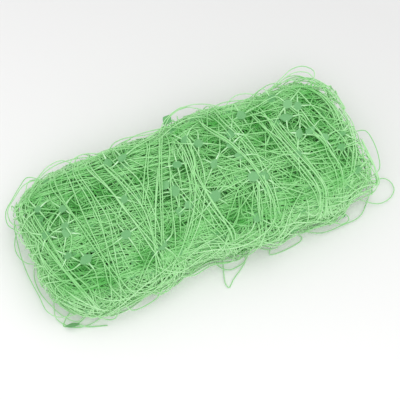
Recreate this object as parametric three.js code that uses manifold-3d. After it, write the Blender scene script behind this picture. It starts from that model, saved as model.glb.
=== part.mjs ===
// Folded plant support netting.
// One long net of extruded plastic strands, gathered across its width and laid back and forth
// into a flat bundle. Each layer here is a thick openwork mat of many plies lying together.
// Millimetres, +Z up. X runs along the bundle, Y across it, and the bundle rests on Z = 0.

import * as THREE from 'three';
import { mergeVertices } from 'three/addons/utils/BufferGeometryUtils.js';
import Module from 'manifold-3d';

// The bundle
const LAYERS = 10;
const NET_SHARE = 0.74; // of each layer's pitch that is net, the rest is the air between layers
const END_SHARE = 0.11; // how far the corners of the plan draw in, of the half length or width
const END_POWER = 6; // a higher power keeps the corners of the plan squarer
const SIDE_DRAW = 11; // how far the top and bottom layers stop short of the widest one
const BASE_DRAW_SHARE = 0.45; // of SIDE_DRAW that the resting side draws in
const EDGE_DROP = 0.13; // share of the height that the top loses at the long edges
const END_DROP = 0.1; // share of the height that the top loses at the turns
const LUMPS = { rise: 1.3, length: 120, across: 3 }; // soft lumps in the height
const EDGE_RIPPLE = { reach: 2.4, length: 170, shift: 2.3 }; // in and out at the long edges
const SKEW = { low: -6, high: -3 }; // how far along X a turn's far side lies from its middle

// The net
const STRAND = 1.6;
const STRAND_SIDES = 4;
const LOOP_STEP = 10; // length of strand between two of its sections
const BUNCH_RISE = 1.1; // a crossing bunch stands this far above the runs on the top layer
const TURN_STEPS = 4;
const JUNCTION = { length: 11, width: 8, thickness: 1.2 }; // the flat plate where strands meet

// The plan outline and the height along the bundle: a row for each station
const OUTLINE = [
  { x: -180, near: 57, far: 66, height: 50 },
  { x: -146, near: 69, far: 74, height: 53 },
  { x: -120, near: 77, far: 75, height: 56 },
  { x: -80, near: 74, far: 71, height: 57 },
  { x: -40, near: 72, far: 72, height: 57 },
  { x: -12, near: 57, far: 67, height: 53 },
  { x: 18, near: 70, far: 77, height: 58 },
  { x: 44, near: 71, far: 77, height: 59 },
  { x: 62, near: 74, far: 73, height: 58 },
  { x: 86, near: 66, far: 69, height: 56 },
  { x: 114, near: 75, far: 74, height: 56 },
  { x: 140, near: 67, far: 74, height: 53 },
  { x: 180, near: 70, far: 62, height: 49 },
];

// The turns: a row for each end that a run reaches, from the resting layer up
const REACH = [
  { low: 167, high: 162 },
  { low: 164, high: 166 },
  { low: 170, high: 165 },
  { low: 166, high: 168 },
  { low: 171, high: 164 },
  { low: 168, high: 167 },
  { low: 170, high: 163 },
  { low: 165, high: 166 },
  { low: 168, high: 161 },
  { low: 161, high: 162 },
];

// Runs of strands along the bundle: the edges of each bunch across the width, -1 near to 1 far
const RUN_EDGES = [-1, -0.9, -0.7, -0.6, -0.42, -0.31, -0.11, 0.03, 0.22, 0.32, 0.53, 0.62, 0.83, 1];
// The runs wander across the bundle in two waves, each shifted from layer to layer
const RUN_WAVES = [
  { share: 0.045, length: 295, shift: 1.9 },
  { share: 0.027, length: 145, shift: 2.7 },
];

// Crossing bunches on the top layer: where each one's middle lies at the far edge, the middle
// line and the near edge, and its width
const TOP_BUNCHES = [
  { far: -159, middle: -158, near: -155, width: 6 },
  { far: -147, middle: -136, near: -122, width: 9 },
  { far: -124, middle: -108, near: -92, width: 6 },
  { far: -86, middle: -66, near: -60, width: 7 },
  { far: -36, middle: -42, near: -40, width: 6 },
  { far: -6, middle: -16, near: -22, width: 7 },
  { far: 20, middle: 9, near: 8, width: 9 },
  { far: 42, middle: 56, near: 44, width: 8 },
  { far: 66, middle: 76, near: 74, width: 6 },
  { far: 92, middle: 103, near: 116, width: 9 },
  { far: 128, middle: 135, near: 140, width: 6 },
];

// Crossing bunches of the layers below: their number, width and slant, from the resting layer up
const LOWER_LAYERS = [
  { bunches: 7, width: 12, slant: 6 },
  { bunches: 4, width: 20, slant: -14 },
  { bunches: 4, width: 18, slant: 18 },
  { bunches: 4, width: 22, slant: -10 },
  { bunches: 4, width: 18, slant: 12 },
  { bunches: 4, width: 21, slant: -18 },
  { bunches: 4, width: 19, slant: 15 },
  { bunches: 5, width: 15, slant: -9 },
  { bunches: 5, width: 14, slant: 16 },
];
const OUTER_OPEN_ROWS = [1, 3, 5, 7, 9, 11];
const INNER_OPEN_ROWS = [1, 2, 3, 5, 7, 8, 9, 11];

// Loose loops: a row for each strand that springs out of a layer and comes back to it. Its ends
// lie in the layer, by their place along it and across it, and it passes the places in between
const LOOPS = [
  { layer: 8, from: [106, 0.94], to: [150, 0.88],
    via: [[119, 73, 46], [131, 76, 47], [145, 73, 46], [155, 66, 44]] },
  { layer: 7, from: [112, 0.95], to: [152, 0.86], via: [[126, 76, 41], [141, 73, 42], [152, 65, 40]] },
  { layer: 5, from: [158, 0.06], to: [158, -0.66],
    via: [[172, 0, 30], [179, -4, 31], [182, -19, 29], [180, -36, 27], [171, -47, 28]] },
  { layer: 0, from: [156, -0.72], to: [150, -0.94],
    via: [[171, -49, 3], [182, -52, 2], [186, -61, 2], [180, -70, 2], [166, -72, 2]] },
  { layer: 1, from: [158, -0.6], to: [78, -0.95],
    via: [[168, -49, 5], [165, -60, 3], [154, -70, 2], [136, -78, 2], [114, -80, 2], [94, -76, 3]] },
  { layer: 2, from: [100, -0.95], to: [106, -0.94],
    via: [[108, -79, 9], [120, -77, 8], [132, -76, 7], [131, -82, 6], [118, -83, 8]] },
  { layer: 0, from: [68, -0.94], to: [44, -0.94], via: [[76, -73, 2], [80, -80, 2], [64, -82, 2]] },
  { layer: 0, from: [26, -0.93], to: [2, -0.93],
    via: [[22, -75, 2], [12, -83, 2], [3, -92, 2], [-3, -90, 2], [-3, -78, 2]] },
  { layer: 1, from: [32, -0.94], to: [-4, -0.92], via: [[22, -77, 5], [8, -79, 4], [-4, -71, 5]] },
  { layer: 2, from: [-156, 0.6], to: [-146, -0.9],
    via: [[-172, 36, 12], [-176, 8, 10], [-174, -18, 8], [-170, -40, 5], [-160, -58, 3]] },
  { layer: 5, from: [-160, 0.3], to: [-136, 0.92],
    via: [[-178, 36, 30], [-176, 50, 32], [-164, 66, 33], [-148, 75, 33]] },
  { layer: 7, from: [-134, 0.93], to: [-92, 0.94], via: [[-128, 73, 42], [-114, 79, 44], [-101, 74, 42]] },
  { layer: 6, from: [144, 0.93], to: [157, -0.2],
    via: [[158, 60, 38], [166, 42, 37], [174, 24, 38], [174, 4, 37]] },
];

// Junction plates that lie clear of the bundle: where each one is, the way its length points in
// degrees from X, and the layer and place that its strand comes from
const LOOSE_JUNCTIONS = [
  { at: [-153, -69, 1.2], turn: -12, layer: 0, from: [-138, -0.94], tail: [-122, -81, 1.4] },
  { at: [4, 74, 46], turn: 35, layer: 7, from: [-8, 0.94], tail: [26, 79, 46] },
];

// Reads one column of a table at a place between its rows, with a smooth change from row to row
function readTable(table, column, x) {
  const last = table.length - 1;
  const at = THREE.MathUtils.clamp(x, table[0].x, table[last].x);
  const after = Math.min(last, Math.max(1, table.findIndex((row) => row.x >= at)));
  const from = table[after - 1];
  const to = table[after];
  const share = THREE.MathUtils.smoothstep(at, from.x, to.x);
  return THREE.MathUtils.lerp(from[column], to[column], share);
}

// A smooth curve through a crossing bunch's three places
function bunchMiddle(bunch, v) {
  const bend = bunch.middle - (bunch.far + bunch.near) / 2;
  const straight = THREE.MathUtils.lerp(bunch.near, bunch.far, (v + 1) / 2);
  return straight + bend * (1 - v * v);
}

function bunchesOf(layer) {
  if (layer === LAYERS - 1) return TOP_BUNCHES;
  const { bunches, width, slant } = LOWER_LAYERS[layer];
  const reach = REACH[layer];
  const spacing = (reach.low + reach.high) / bunches;
  return Array.from({ length: bunches }, (unused, index) => {
    const middle = -reach.low + spacing * (index + 0.5);
    return { far: middle - slant, middle, near: middle + slant, width };
  });
}

// Height of the top of the bundle over a place in its plan
function heightAt(x, u, v) {
  const across = 1 - EDGE_DROP * Math.abs(v) ** 3;
  const along = 1 - END_DROP * Math.abs(u) ** END_POWER;
  const turn = (x / LUMPS.length) * 2 * Math.PI;
  const lumps = LUMPS.rise * Math.sin(turn + v) * Math.cos(LUMPS.across * v - turn / LUMPS.across);
  return readTable(OUTLINE, 'height', x) * across * along + lumps;
}

// How far a layer stops short of the widest one, which lies below the middle of the height
function drawAt(layer) {
  const level = (2 * (layer + 0.5)) / LAYERS - 1;
  const share = level < 0 ? BASE_DRAW_SHARE : 1;
  return SIDE_DRAW * share * Math.abs(level) ** 3;
}

// A place on a layer: x along the bundle before the corners draw in, v across it
function placeOn(layer, x, v) {
  const end = x < 0 ? 'low' : 'high';
  const u = THREE.MathUtils.clamp(x / REACH[layer][end], -1, 1);
  const corner = 1 - END_SHARE * Math.abs(v) ** END_POWER * Math.abs(u);
  const placeX = x * corner + SKEW[end] * v * Math.abs(u) ** END_POWER;
  const turn = (x / EDGE_RIPPLE.length) * 2 * Math.PI + layer * EDGE_RIPPLE.shift + v;
  const ripple = EDGE_RIPPLE.reach * Math.sin(turn);
  const edge = readTable(OUTLINE, v < 0 ? 'near' : 'far', placeX) - drawAt(layer) + ripple;
  const placeY = v * edge * (1 - END_SHARE * Math.abs(u) ** END_POWER);
  return { x: placeX, y: placeY, pitch: heightAt(placeX, u, v) / LAYERS };
}

// Where a run lies across the bundle after its wandering, which fades towards the long edges
function wander(layer, x, v) {
  const shifts = RUN_WAVES.map(({ share, length, shift }) => (
    share * Math.sin((x / length) * 2 * Math.PI + layer * shift + v)
  ));
  return v + shifts.reduce((sum, one) => sum + one, 0) * (1 - v * v);
}

// One line across the mat at a crossing bunch's edge or at a run's end
function straightLine(layer, xAt, rise) {
  return RUN_EDGES.map((v) => {
    const x = xAt(v);
    const place = placeOn(layer, x, wander(layer, x, v));
    const lower = layer * place.pitch;
    const upper = lower + NET_SHARE * place.pitch + rise;
    const points = [
      [place.x, place.y, lower],
      [place.x, place.y, upper],
    ];
    return layer % 2 === 0 ? points : points.reverse();
  });
}

// One line across the mat in the turn from a layer to the one above it
function turnLine(layer, step) {
  const angle = (step / TURN_STEPS) * Math.PI;
  const side = layer % 2 === 0 ? 1 : -1;
  return RUN_EDGES.map((v) => {
    const column = side > 0 ? 'high' : 'low';
    const share = step / TURN_STEPS;
    const [from, to] = [layer, layer + 1].map((one) => {
      const end = side * REACH[one][column];
      return placeOn(one, end, wander(one, end, v));
    });
    const x = THREE.MathUtils.lerp(from.x, to.x, share);
    const y = THREE.MathUtils.lerp(from.y, to.y, share);
    const pitch = THREE.MathUtils.lerp(from.pitch, to.pitch, share);
    const middle = layer * pitch + (1 + NET_SHARE) * pitch / 2;
    const rings = [(1 + NET_SHARE) * pitch / 2, (1 - NET_SHARE) * pitch / 2];
    const points = rings.map((ring) => [
      x + side * ring * Math.sin(angle),
      y,
      middle - ring * Math.cos(angle),
    ]);
    return side > 0 ? points : points.reverse();
  });
}

// Every line across the mat in order, with the openings between each line and the next
function layLines() {
  const lines = [];
  for (let layer = 0; layer < LAYERS; layer += 1) {
    const onTop = layer === LAYERS - 1;
    const outer = onTop || layer === 0;
    const forward = layer % 2 === 0;
    const bunches = bunchesOf(layer);
    const edges = bunches.flatMap((bunch) => [-1, 1].map((side) => ({
      xAt: (v) => bunchMiddle(bunch, v) + (side * bunch.width) / 2,
      rise: onTop ? BUNCH_RISE : 0,
    })));
    const low = { xAt: () => -REACH[layer].low, rise: 0 };
    const high = { xAt: () => REACH[layer].high, rise: 0 };
    const stations = [low, ...edges, high];
    if (!forward) stations.reverse();
    stations.forEach((station, index) => {
      const betweenBunches = index % 2 === 0 && index > 0 && index < stations.length - 2;
      const afterTurn = onTop && index === 0;
      const rows = outer ? OUTER_OPEN_ROWS : INNER_OPEN_ROWS;
      lines.push({
        points: straightLine(layer, station.xAt, station.rise),
        open: betweenBunches || afterTurn ? rows : [],
      });
    });
    if (onTop) break;
    for (let step = 1; step < TURN_STEPS; step += 1) {
      lines.push({
        points: turnLine(layer, step),
        open: step === 1 || step === 2 ? OUTER_OPEN_ROWS : [],
      });
    }
  }
  return lines;
}

// The mat between the lines: two faces for each closed cell, and a wall beside each opening
function matGeometry(lines) {
  const rows = RUN_EDGES.length;
  const positions = lines.flatMap((line) => line.points.flat(2));
  const index = [];
  const vertex = (line, row, face) => (line * rows + row) * 2 + face;
  const closed = (line, row) => {
    const inside = line >= 0 && line < lines.length - 1 && row >= 0 && row < rows - 1;
    return inside && !lines[line].open.includes(row);
  };
  const quad = (a, b, c, d) => index.push(a, b, c, a, c, d);
  for (let line = 0; line < lines.length - 1; line += 1) {
    for (let row = 0; row < rows - 1; row += 1) {
      if (!closed(line, row)) continue;
      const corner = [[line, row], [line, row + 1], [line + 1, row + 1], [line + 1, row]];
      const a = corner.map(([l, r]) => vertex(l, r, 0));
      const b = corner.map(([l, r]) => vertex(l, r, 1));
      quad(a[0], a[1], a[2], a[3]);
      quad(b[3], b[2], b[1], b[0]);
      if (!closed(line - 1, row)) quad(a[1], a[0], b[0], b[1]);
      if (!closed(line, row + 1)) quad(a[2], a[1], b[1], b[2]);
      if (!closed(line + 1, row)) quad(a[3], a[2], b[2], b[3]);
      if (!closed(line, row - 1)) quad(a[0], a[3], b[3], b[0]);
    }
  }
  const geometry = new THREE.BufferGeometry();
  geometry.setAttribute('position', new THREE.Float32BufferAttribute(positions, 3));
  geometry.setIndex(index);
  return geometry;
}

// The middle of a layer's thickness at a place on it
function insideLayer(layer, [x, v]) {
  const place = placeOn(layer, x, v);
  return new THREE.Vector3(place.x, place.y, (layer + NET_SHARE / 2) * place.pitch);
}

// A strand through a list of places
function strandGeometry(places) {
  const path = new THREE.CatmullRomCurve3(places, false, 'centripetal');
  const section = new THREE.Shape();
  for (let side = 0; side < STRAND_SIDES; side += 1) {
    const angle = ((side + 0.5) / STRAND_SIDES) * 2 * Math.PI;
    const corner = [Math.cos(angle) * STRAND / 2, Math.sin(angle) * STRAND / 2];
    if (side === 0) section.moveTo(...corner);
    else section.lineTo(...corner);
  }
  section.closePath();
  return new THREE.ExtrudeGeometry(section, {
    steps: Math.round(path.getLength() / LOOP_STEP),
    bevelEnabled: false,
    extrudePath: path,
  });
}

function junctionGeometry({ at, turn }) {
  const plate = new THREE.BoxGeometry(JUNCTION.length, JUNCTION.width, JUNCTION.thickness);
  plate.rotateZ(THREE.MathUtils.degToRad(turn));
  return plate.translate(...at);
}

// What is loose beside the mat: loops, and junction plates with their strand and tail
function looseGeometries() {
  const loops = LOOPS.map(({ layer, from, to, via }) => strandGeometry([
    insideLayer(layer, from),
    ...via.map((place) => new THREE.Vector3(...place)),
    insideLayer(layer, to),
  ]));
  const junctions = LOOSE_JUNCTIONS.flatMap((junction) => [
    junctionGeometry(junction),
    strandGeometry([
      insideLayer(junction.layer, junction.from),
      new THREE.Vector3(...junction.at),
      new THREE.Vector3(...junction.tail),
    ]),
  ]);
  return [...loops, ...junctions];
}

// Turns a closed geometry into a solid that can be joined to another
function toSolid(wasm, geometry) {
  const bare = geometry.clone();
  bare.deleteAttribute('normal');
  bare.deleteAttribute('uv');
  const merged = mergeVertices(bare, 1e-4);
  return new wasm.Manifold(new wasm.Mesh({
    numProp: 3,
    vertProperties: new Float32Array(merged.attributes.position.array),
    triVerts: new Uint32Array(merged.index.array),
  }));
}

function toGeometry(solid) {
  const { vertProperties, triVerts } = solid.getMesh();
  const geometry = new THREE.BufferGeometry();
  geometry.setAttribute('position', new THREE.BufferAttribute(vertProperties, 3));
  geometry.setIndex(new THREE.BufferAttribute(triVerts, 1));
  return geometry;
}

const wasm = await Module();
wasm.setup();

const mat = toSolid(wasm, matGeometry(layLines()));
const whole = looseGeometries().reduce((solid, loose) => solid.add(toSolid(wasm, loose)), mat);
const netGeometry = toGeometry(whole);

// The origin is midway along and across, on the plane that the bundle rests on
netGeometry.computeBoundingBox();
const middle = netGeometry.boundingBox.getCenter(new THREE.Vector3());
netGeometry.translate(-middle.x, -middle.y, 0);
netGeometry.computeVertexNormals();

const net = new THREE.Mesh(
  netGeometry,
  new THREE.MeshStandardMaterial({ color: 0x7cc878, roughness: 0.45, metalness: 0 }),
);
net.name = 'net';

const bundle = new THREE.Group();
bundle.add(net);

export default bundle;
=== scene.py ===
# Folded plant support netting
# A net of extruded plastic strands with a flat plate wherever two strands cross. It is gathered
# across its width, laid back and forth in long runs, and rests on a pale floor as a flat bundle.
# The strands are laid in millimetres in the bundle's own axes: x along it, y across it, z up.
# A place also has shares: v from -1 at the near edge to 1 at the far one, and w from 0 at the
# base to 1 at the top.

import math

import bpy
import numpy as np
from mathutils import Matrix, Vector


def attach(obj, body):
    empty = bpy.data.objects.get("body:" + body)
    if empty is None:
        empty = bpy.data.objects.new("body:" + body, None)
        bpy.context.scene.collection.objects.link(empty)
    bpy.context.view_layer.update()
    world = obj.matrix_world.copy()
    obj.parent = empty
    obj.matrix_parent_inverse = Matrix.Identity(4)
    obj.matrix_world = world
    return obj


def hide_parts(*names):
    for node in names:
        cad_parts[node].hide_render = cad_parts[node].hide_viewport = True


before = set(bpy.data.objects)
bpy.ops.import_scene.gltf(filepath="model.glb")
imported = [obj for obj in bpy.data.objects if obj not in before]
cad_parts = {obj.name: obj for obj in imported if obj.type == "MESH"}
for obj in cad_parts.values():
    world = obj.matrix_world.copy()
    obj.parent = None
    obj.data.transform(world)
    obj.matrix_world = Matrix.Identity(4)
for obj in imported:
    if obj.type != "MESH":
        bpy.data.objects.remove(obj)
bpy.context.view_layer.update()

MM = 0.001
SEED = 23

# The bundle
BODY_MIDDLE = (3.72, -6.08, 0.0)  # the frame's origin in the bundle's own axes
HALF_WIDTH = 72.0  # of the bundle as it is laid, before its outline presses it to shape
HALF_LENGTH = 166.0
OUTLINE = np.array([
    # x, near edge, far edge, height
    (-180, 57, 66, 50),
    (-146, 69, 74, 53),
    (-120, 77, 77, 56),
    (-80, 74, 76, 57),
    (-40, 71, 76, 57),
    (-12, 63, 74, 55),
    (18, 72, 79, 58),
    (38, 75, 79, 59),
    (56, 77, 75, 59),
    (72, 70, 72, 57),
    (88, 70, 71, 56),
    (110, 75, 73, 56),
    (128, 71, 76, 55),
    (144, 66, 75, 53),
    (160, 70, 63, 51),
    (180, 66, 58, 49),
], dtype=float)
END_REACH = np.array([
    # share of the height, low end, high end
    (0.0, 166, 163),
    (0.25, 169, 166),
    (0.45, 171, 165),
    (0.65, 169, 166),
    (0.85, 167, 163),
    (1.0, 161, 161),
], dtype=float)
END_SHARE = 0.11  # how far the corners of the plan draw in
END_POWER = 6  # a higher power keeps the corners squarer
END_SKEW = -3.0  # along the bundle, from the middle of an end to its far side
SIDE_DRAW = {"top": 11.0, "base": 5.0}  # how far the long edges draw in above and below
EDGE_DROP = 0.1  # share of the height that the top loses towards the long edges
EDGE_ROUND = 0.26  # and what it loses more close to them
END_DROP = 0.1  # share of the height that the top loses towards the ends
LUMP = {"rise": 1.9, "length": 105.0, "across": 3.0}  # soft lumps in the top
FILL = 1.05  # share of the height that the pressed runs fill
HEIGHT_PRESS = 10  # a higher power moves only what lies close to the limit
LENGTH_PRESS = 16
END_SLACK = 1.01  # how far runs may go, as shares of the way to the ends and the long edges
SIDE_SLACK = 1.06
FOLD_START = 0.76  # share of the way to an edge at which strands begin to turn back
TOP_REACH = 0.99  # share of the way to the long edges that single strands go
TOP_GAP = 1.9  # mm that the uppermost single strands fill above the runs
# Strands in the hollows also get more painted shade, as their depth is counted from the top without them
HOLLOWS = (
    # x, y, radius, how far the top sinks
    (82, 37, 13, 9), (107, 24, 10, 9), (139, 36, 12, 9), (39, 52, 11, 8), (36, 22, 12, 9),
    (26, 26, 12, 9), (-3, 21, 9, 9), (18, -44, 10, 9), (35, -33, 9, 8), (-66, -48, 11, 8),
    (-84, 28, 9, 8), (-74, 22, 9, 8), (-109, 24, 10, 8), (-132, 23, 9, 8), (124, 5, 13, 8),
    (81, 15, 13, 8), (88, -23, 11, 8), (-40, 26, 10, 9), (143, -25, 10, 5), (85, -44, 10, 5),
    (-111, -61, 10, 8), (-123, -33, 10, 8), (-34, -32, 9, 9), (-55, 55, 10, 8), (-33, 2, 10, 8),
)

# How much light reaches a place, by the mm of net that it lies under, for the painted shade inside the
# bundle
SKIN = 1.5  # under the top, still in full light
SIDE_SKIN = 7.5  # the same inside the sides and the ends
LIGHT_REACH = 8.5  # past the skin, where little light is left
SIDE_SHADE = 0.6  # what 1 mm in from a long edge counts for, and from an end
END_SHADE = 0.4
END_BULGE = 6.0  # mm that the ends reach past the half length
# The painted light on the bundle's rim: RIM_WIDTH is the mm over which it fades inwards
RIM_WIDTH = 20.0
RIM_FADE = 4.0  # mm outside the edge over which the painted light of the pale rim fades

# The net
LONG_STRANDS = 18
JUNCTIONS_ALONG = 67
MESH_WIDTH = 140.0
RUNS = 32
BUNCHES_IN_RUN = 9
STRAND_RADIUS = 0.52
DEEP_GIRTH = 0.5  # how much thicker strands are drawn deep inside, where they lie in pairs
SIDES = 5
PLATE = {"length": 11.0, "width": 8.5, "middle": 0.7, "rim": 0.5}
PLATE_REACH = (1.0, 0.84, 0.77, 0.85)  # of the plate's outline, from one arm towards the next
ARM_LENGTH = 6.5  # strand beside a plate that is thicker, and paler partly from stretching and partly as a painted glint
ARM_GIRTH = 0.5  # how much thicker it is at the plate
ARM_TAPER = 1.6  # how much shorter the thick part is than the pale part
WHITES = ((0.0, 0.25, 0.5, 1.0), (0.4, 0.3, 0.18, 0.12))  # how white arms are, partly from stretching and partly a painted glint, and how often
TONES = {
    # mean and spread: a strand of tone 0 has the middle green, and a higher tone is paler
    "net": (0, 1), "bunch": (1.2, 0.8), "stray": (0.15, 0.75), "edge": (0.3, 0.9),
    "arm": (0.5, 0.8), "loop": (0.3, 0.5), "top plate": (0, 0.7),
}

# How finely the strands are divided, in mm
PATH_STEP = 1.5  # between the points of a path
LONGEST_STEP = 7.0  # between two rings
TOP_STEP = 6.0
LOOP_STEP = 5.0
ARM_STEP = 3.6
ARM_SPAN = 1.4  # arm lengths from a junction that have this step
BEND_STEP = 0.36  # radians of bend between two rings
DEEP = 0.95  # the depth past which strands keep only a share of their rings
DEEP_STEPS = 0.72

rng = np.random.default_rng(SEED)


# Reading the bundle's shape

def eased(table, x):
    """The columns of a table at x, on a smooth line through its rows."""
    stations, rows = table[:, 0], table[:, 1:]
    slopes = np.gradient(rows, stations, axis=0)
    after = np.clip(np.searchsorted(stations, x), 1, len(stations) - 1)
    before = after - 1
    step = stations[after] - stations[before]
    share = np.clip((x - stations[before]) / step, 0.0, 1.0)[..., None]
    rise = rows[after] - rows[before]
    leave = slopes[before] * step[..., None] - rise
    arrive = rise - slopes[after] * step[..., None]
    bend = share * (1 - share) * (leave * (1 - share) + arrive * share)
    return np.moveaxis(rows[before] + rise * share + bend, -1, 0)


def pressed(value, power, limit=1.0):
    """A value eased so that it never passes the limit on either side."""
    share = value / limit
    return value / (1 + np.abs(share) ** power) ** (1 / power)


def folded(value, limit=1.0):
    """A value that turns back smoothly where it would pass the limit on either side."""
    share = np.abs(value) / limit
    past = np.minimum((share - FOLD_START) / (1 - FOLD_START), 4.0)
    share = np.where(past > 0, FOLD_START + (1 - FOLD_START) * np.sin(past), share)
    return np.sign(value) * share * limit


def across_share(v):
    """The height across the bundle as a share of its height on the middle line."""
    corner = EDGE_ROUND * np.minimum(np.abs(v), 1.05) ** 9
    return 1 - EDGE_DROP * np.abs(v) ** 3 - corner


def edge_beside(x, y):
    """How far out the near or far edge is beside a place, the same where the corners draw in, and
    the bundle's height there."""
    near, far, height = eased(OUTLINE, x)
    half = np.where(y < 0, near, far)
    return half, half * (1 - END_SHARE * np.abs(x / HALF_LENGTH) ** END_POWER), height


def depth_inside(points):
    """How deep places lie inside the bundle, as a share of the depth that little light reaches."""
    x, y, z = points.T
    half, drawn, height = edge_beside(x, y)
    top = height * across_share(y / half) - z - SKIN
    side = (drawn - np.abs(y)) * SIDE_SHADE - SIDE_SKIN
    end = (HALF_LENGTH + END_BULGE - np.abs(x)) * END_SHADE - SIDE_SKIN
    return np.clip(np.minimum(np.minimum(top, side), end) / LIGHT_REACH, 0, 1)


def rim_light_share(points):
    """How near places lie to the bundle's edges, where the net is thin and lets light through: 1 on the
    edge.
    It sets the painted light on the rim.
    """
    x, y, _ = points.T
    _, drawn, _ = edge_beside(x, y)
    inside = np.minimum(drawn - np.abs(y), HALF_LENGTH - np.abs(x))
    return np.clip(1 - inside / RIM_WIDTH, 0, 1) * np.clip(1 + inside / RIM_FADE, 0, 1)


def dent(points):
    """How far the hollows sink the bundle's top at given places."""
    x, y, _ = points.T
    sunk = 0.0
    for middle_x, middle_y, radius, sink in HOLLOWS:
        off = (x - middle_x) ** 2 + (y - middle_y) ** 2
        sunk = np.maximum(sunk, sink * np.exp(-off / radius**2))
    return sunk


def top_height(x, u, v):
    """Height of the bundle's top over a place in its plan."""
    along = 1 - END_DROP * np.abs(u) ** END_POWER
    turn = x / LUMP["length"] * math.tau
    lump = np.sin(turn + v) * np.cos(LUMP["across"] * v - turn / LUMP["across"])
    return eased(OUTLINE, x)[2] * across_share(v) * along + LUMP["rise"] * lump


def half_width(x, v, w):
    """Distance from the bundle's middle line to its near or far edge at a share w of the height."""
    half, _, _ = edge_beside(x, v)
    level = 2 * w - 1
    return half - np.where(level < 0, SIDE_DRAW["base"], SIDE_DRAW["top"]) * np.abs(level) ** 3


def in_bundle(x, v, w):
    """Places in mm for x along the bundle, v from -1 near to 1 far, and w from 0 low to 1 high."""
    low, high = eased(END_REACH, w)
    u = np.clip(x / np.where(x < 0, low, high), -1, 1)
    corner = 1 - END_SHARE * np.abs(v) ** END_POWER * np.abs(u)
    place_x = x * corner + END_SKEW * v * np.abs(u) ** END_POWER
    round_off = 1 - END_SHARE * np.abs(u) ** END_POWER
    place_y = v * half_width(place_x, v, w) * round_off
    place_z = np.maximum(w * top_height(place_x, u, v), STRAND_RADIUS)
    return np.stack([place_x, place_y, place_z], axis=-1)


def press(path, reach=1.0):
    """Lays a loose path of x and y in mm and height as a share inside the bundle.

    reach is the share of the way to the bundle's edges that the path may go."""
    x, y, w = np.asarray(path, dtype=float).T
    w = 0.5 + FILL / 2 * pressed(2 * w - 1, HEIGHT_PRESS)
    low, high = eased(END_REACH, w)
    x = pressed(x, LENGTH_PRESS, reach * END_SLACK * np.where(x < 0, low, high))
    places = in_bundle(x, folded(y / half_width(x, y, w), reach * SIDE_SLACK), w)
    places[:, 2] -= (TOP_GAP + dent(places)) * np.clip(w, 0, 1) ** 3
    return places


def on_top(x, y, w):
    """A place on the bundle at x and y in mm and a share w of the height."""
    x = pressed(np.array([float(x)]), LENGTH_PRESS, HALF_LENGTH)
    half, _, _ = edge_beside(x, y)
    return in_bundle(x, folded(y / half, TOP_REACH), np.array([w]))[0]


# Paths

def smooth_path(points):
    """Close points on a smooth path through a few given ones."""
    points = np.asarray(points, dtype=float)
    gaps = np.linalg.norm(np.diff(points, axis=0), axis=1)
    points = points[np.concatenate([[True], gaps > 1e-6])]
    gaps = gaps[gaps > 1e-6]
    spans = np.sqrt(gaps)[:, None]
    slopes = np.diff(points, axis=0) / spans
    inner = (slopes[:-1] * spans[1:] + slopes[1:] * spans[:-1]) / (spans[:-1] + spans[1:])
    tangents = np.vstack([slopes[:1], inner, slopes[-1:]])
    counts = np.maximum(2, np.ceil(gaps / PATH_STEP).astype(int))
    part = np.repeat(np.arange(len(gaps)), counts)
    start = np.repeat(np.cumsum(counts) - counts, counts)
    f = ((np.arange(len(part)) - start) / counts[part])[:, None]
    leave = tangents[part] * spans[part]
    arrive = tangents[part + 1] * spans[part]
    path = (
        (2 * f**3 - 3 * f**2 + 1) * points[part]
        + (f**3 - 2 * f**2 + f) * leave
        + (3 * f**2 - 2 * f**3) * points[part + 1]
        + (f**3 - f**2) * arrive
    )
    return np.vstack([path, points[-1:]])


def distances(path):
    """Distance along a path at each of its points."""
    return np.concatenate([[0.0], np.cumsum(np.linalg.norm(np.diff(path, axis=0), axis=1))])


def at_distance(path, along, where):
    """Places on a path whose points lie at the distances along."""
    return np.stack([np.interp(where, along, path[:, axis]) for axis in range(3)], axis=-1)


def unit_tangents(path):
    tangents = np.gradient(path, axis=0)
    return tangents / np.linalg.norm(tangents, axis=1)[:, None]


def tone_of(kind):
    return rng.normal(*TONES[kind])


def arm_whiteness():
    """How white the plastic is beside a junction, partly from stretching and partly a painted glint: most
    are faint and a few are bright.
    """
    whites, shares = WHITES
    return float(rng.choice(whites, p=shares))


def either_way():
    return rng.choice([-1.0, 1.0])


class Strand:
    """A round strand: its rings' places, girths and looks, and one tone for its whole length.

    arms has a pair for each junction on the strand: the distance along it and how white it is."""

    def __init__(self, path, tone, arms=(), step=LONGEST_STEP, radius=STRAND_RADIUS):
        path[:, 2] = np.maximum(path[:, 2], radius)
        along = distances(path)
        rings = self.rings_up_to(path, along, arms, step)
        count = max(3, int(math.ceil(rings[-1])) + 1)
        self.where = np.interp(np.linspace(0, rings[-1], count), rings, along)
        self.points = at_distance(path, along, self.where)
        self.depth = depth_inside(self.points)
        self.rim = rim_light_share(self.points)
        self.length = along[-1]
        self.tone = tone
        self.white = np.zeros(count)
        self.radius = radius * (1 + DEEP_GIRTH * self.depth)
        for place, white in arms:
            gap = np.abs(self.where - place) / ARM_LENGTH
            girth = 1 + ARM_GIRTH * np.exp(-((ARM_TAPER * gap) ** 4))
            self.white = np.maximum(self.white, white * np.exp(-(gap**4)))
            self.radius = np.maximum(self.radius, radius * girth)

    @staticmethod
    def rings_up_to(path, along, arms, step):
        """How many rings the strand needs up to each point of its path."""
        turning = np.linalg.norm(np.diff(unit_tangents(path), axis=0), axis=1)
        length = np.diff(along)
        steps = np.maximum(length / step, turning / BEND_STEP)
        steps = np.where(depth_inside(path[1:]) > DEEP, steps * DEEP_STEPS, steps)
        middles = (along[:-1] + along[1:]) / 2
        for place, _ in arms:
            close = np.abs(middles - place) < ARM_LENGTH * ARM_SPAN
            steps = np.where(close, np.maximum(steps, length / ARM_STEP), steps)
        return np.concatenate([[0.0], np.cumsum(steps)])


# Meshes

def columns(*rows):
    return np.stack(rows, axis=1)


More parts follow.
